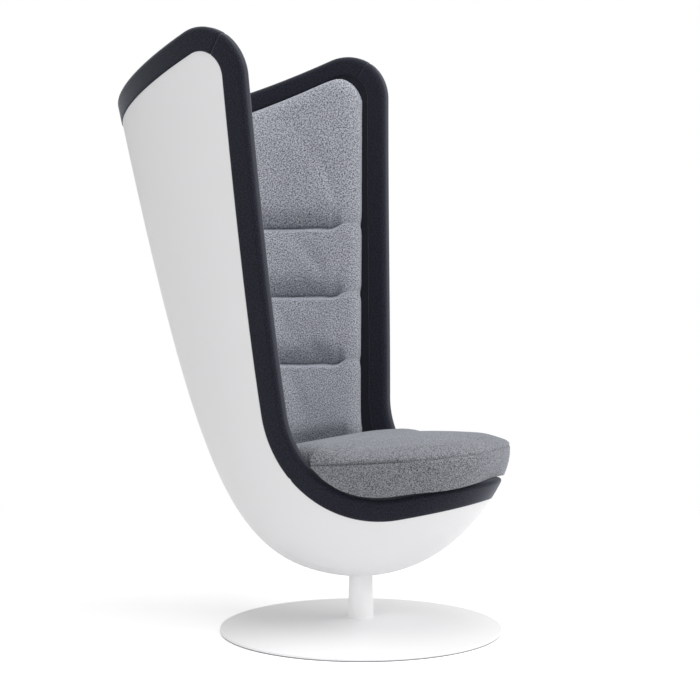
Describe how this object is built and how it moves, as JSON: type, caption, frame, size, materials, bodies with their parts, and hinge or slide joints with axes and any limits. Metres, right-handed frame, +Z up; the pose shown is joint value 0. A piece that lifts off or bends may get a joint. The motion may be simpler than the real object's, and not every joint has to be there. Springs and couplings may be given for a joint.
{
  "type": "pod lounge chair",
  "caption": "High-backed pod lounge chair: a deep moulded shell with padded rim, lining, channelled back pad and loose seat cushion, turning on a column with a disc foot.",
  "frame": {"origin": "on the floor, on the axis of the swivel column, at the centre of the disc foot", "axes": "+Z is up, the sitter faces -Y and +X is the sitter's left"},
  "size_m": [0.7794, 1.0176, 1.4596],
  "materials": {
    "floor_pad": "matt",
    "ballast": "raw",
    "base_paint": "satin powder coat",
    "bearing_steel": "ground",
    "fixings": "black oxide",
    "bush_brass": "machined",
    "carrier_paint": "satin black",
    "plywood": "sanded",
    "shell_white": "smooth satin",
    "inner_shell_grey": "plain",
    "rim_fabric": "dark melange weave",
    "lining_fabric": "dark melange weave",
    "pad_fabric": "light grey melange weave",
    "cushion_fabric": "light grey melange weave"
  },
  "bodies": {
    "base": {"floor_pad": "floor_pad", "ballast_plate": "ballast", "base_cover": "base_paint", "column": "base_paint", "foot_ring": "base_paint", "base_bolts": "fixings", "lower_bush": "bush_brass", "upper_bush": "bush_brass", "lower_race": "bearing_steel", "ball_cage": "bush_brass", "bearing_balls": "bearing_steel"},
    "seat": {"upper_race": "bearing_steel", "spindle": "bearing_steel", "end_washer": "bearing_steel", "retaining_ring": "fixings", "swivel_plate": "carrier_paint", "spindle_nut": "bearing_steel", "foot_block": "plywood", "insert_nuts": "bearing_steel", "plate_screws": "fixings", "seat_pedestal": "carrier_paint", "pedestal_screws": "fixings", "seat_pan": "plywood", "pan_screws": "fixings", "outer_shell": "shell_white", "inner_shell": "inner_shell_grey", "shell_lining": "lining_fabric", "collar_band": "rim_fabric", "left_wing_band": "rim_fabric", "right_wing_band": "rim_fabric", "lip_band": "rim_fabric", "back_pad": "pad_fabric", "seat_cushion": "cushion_fabric", "cushion_board": "plywood"}
  },
  "joints": [
    {"name": "swivel", "type": "hinge", "parent": "base", "child": "seat", "pos_m": [0, 0, 0.13], "axis": [0, 0, 1], "continuous": true}
  ]
}
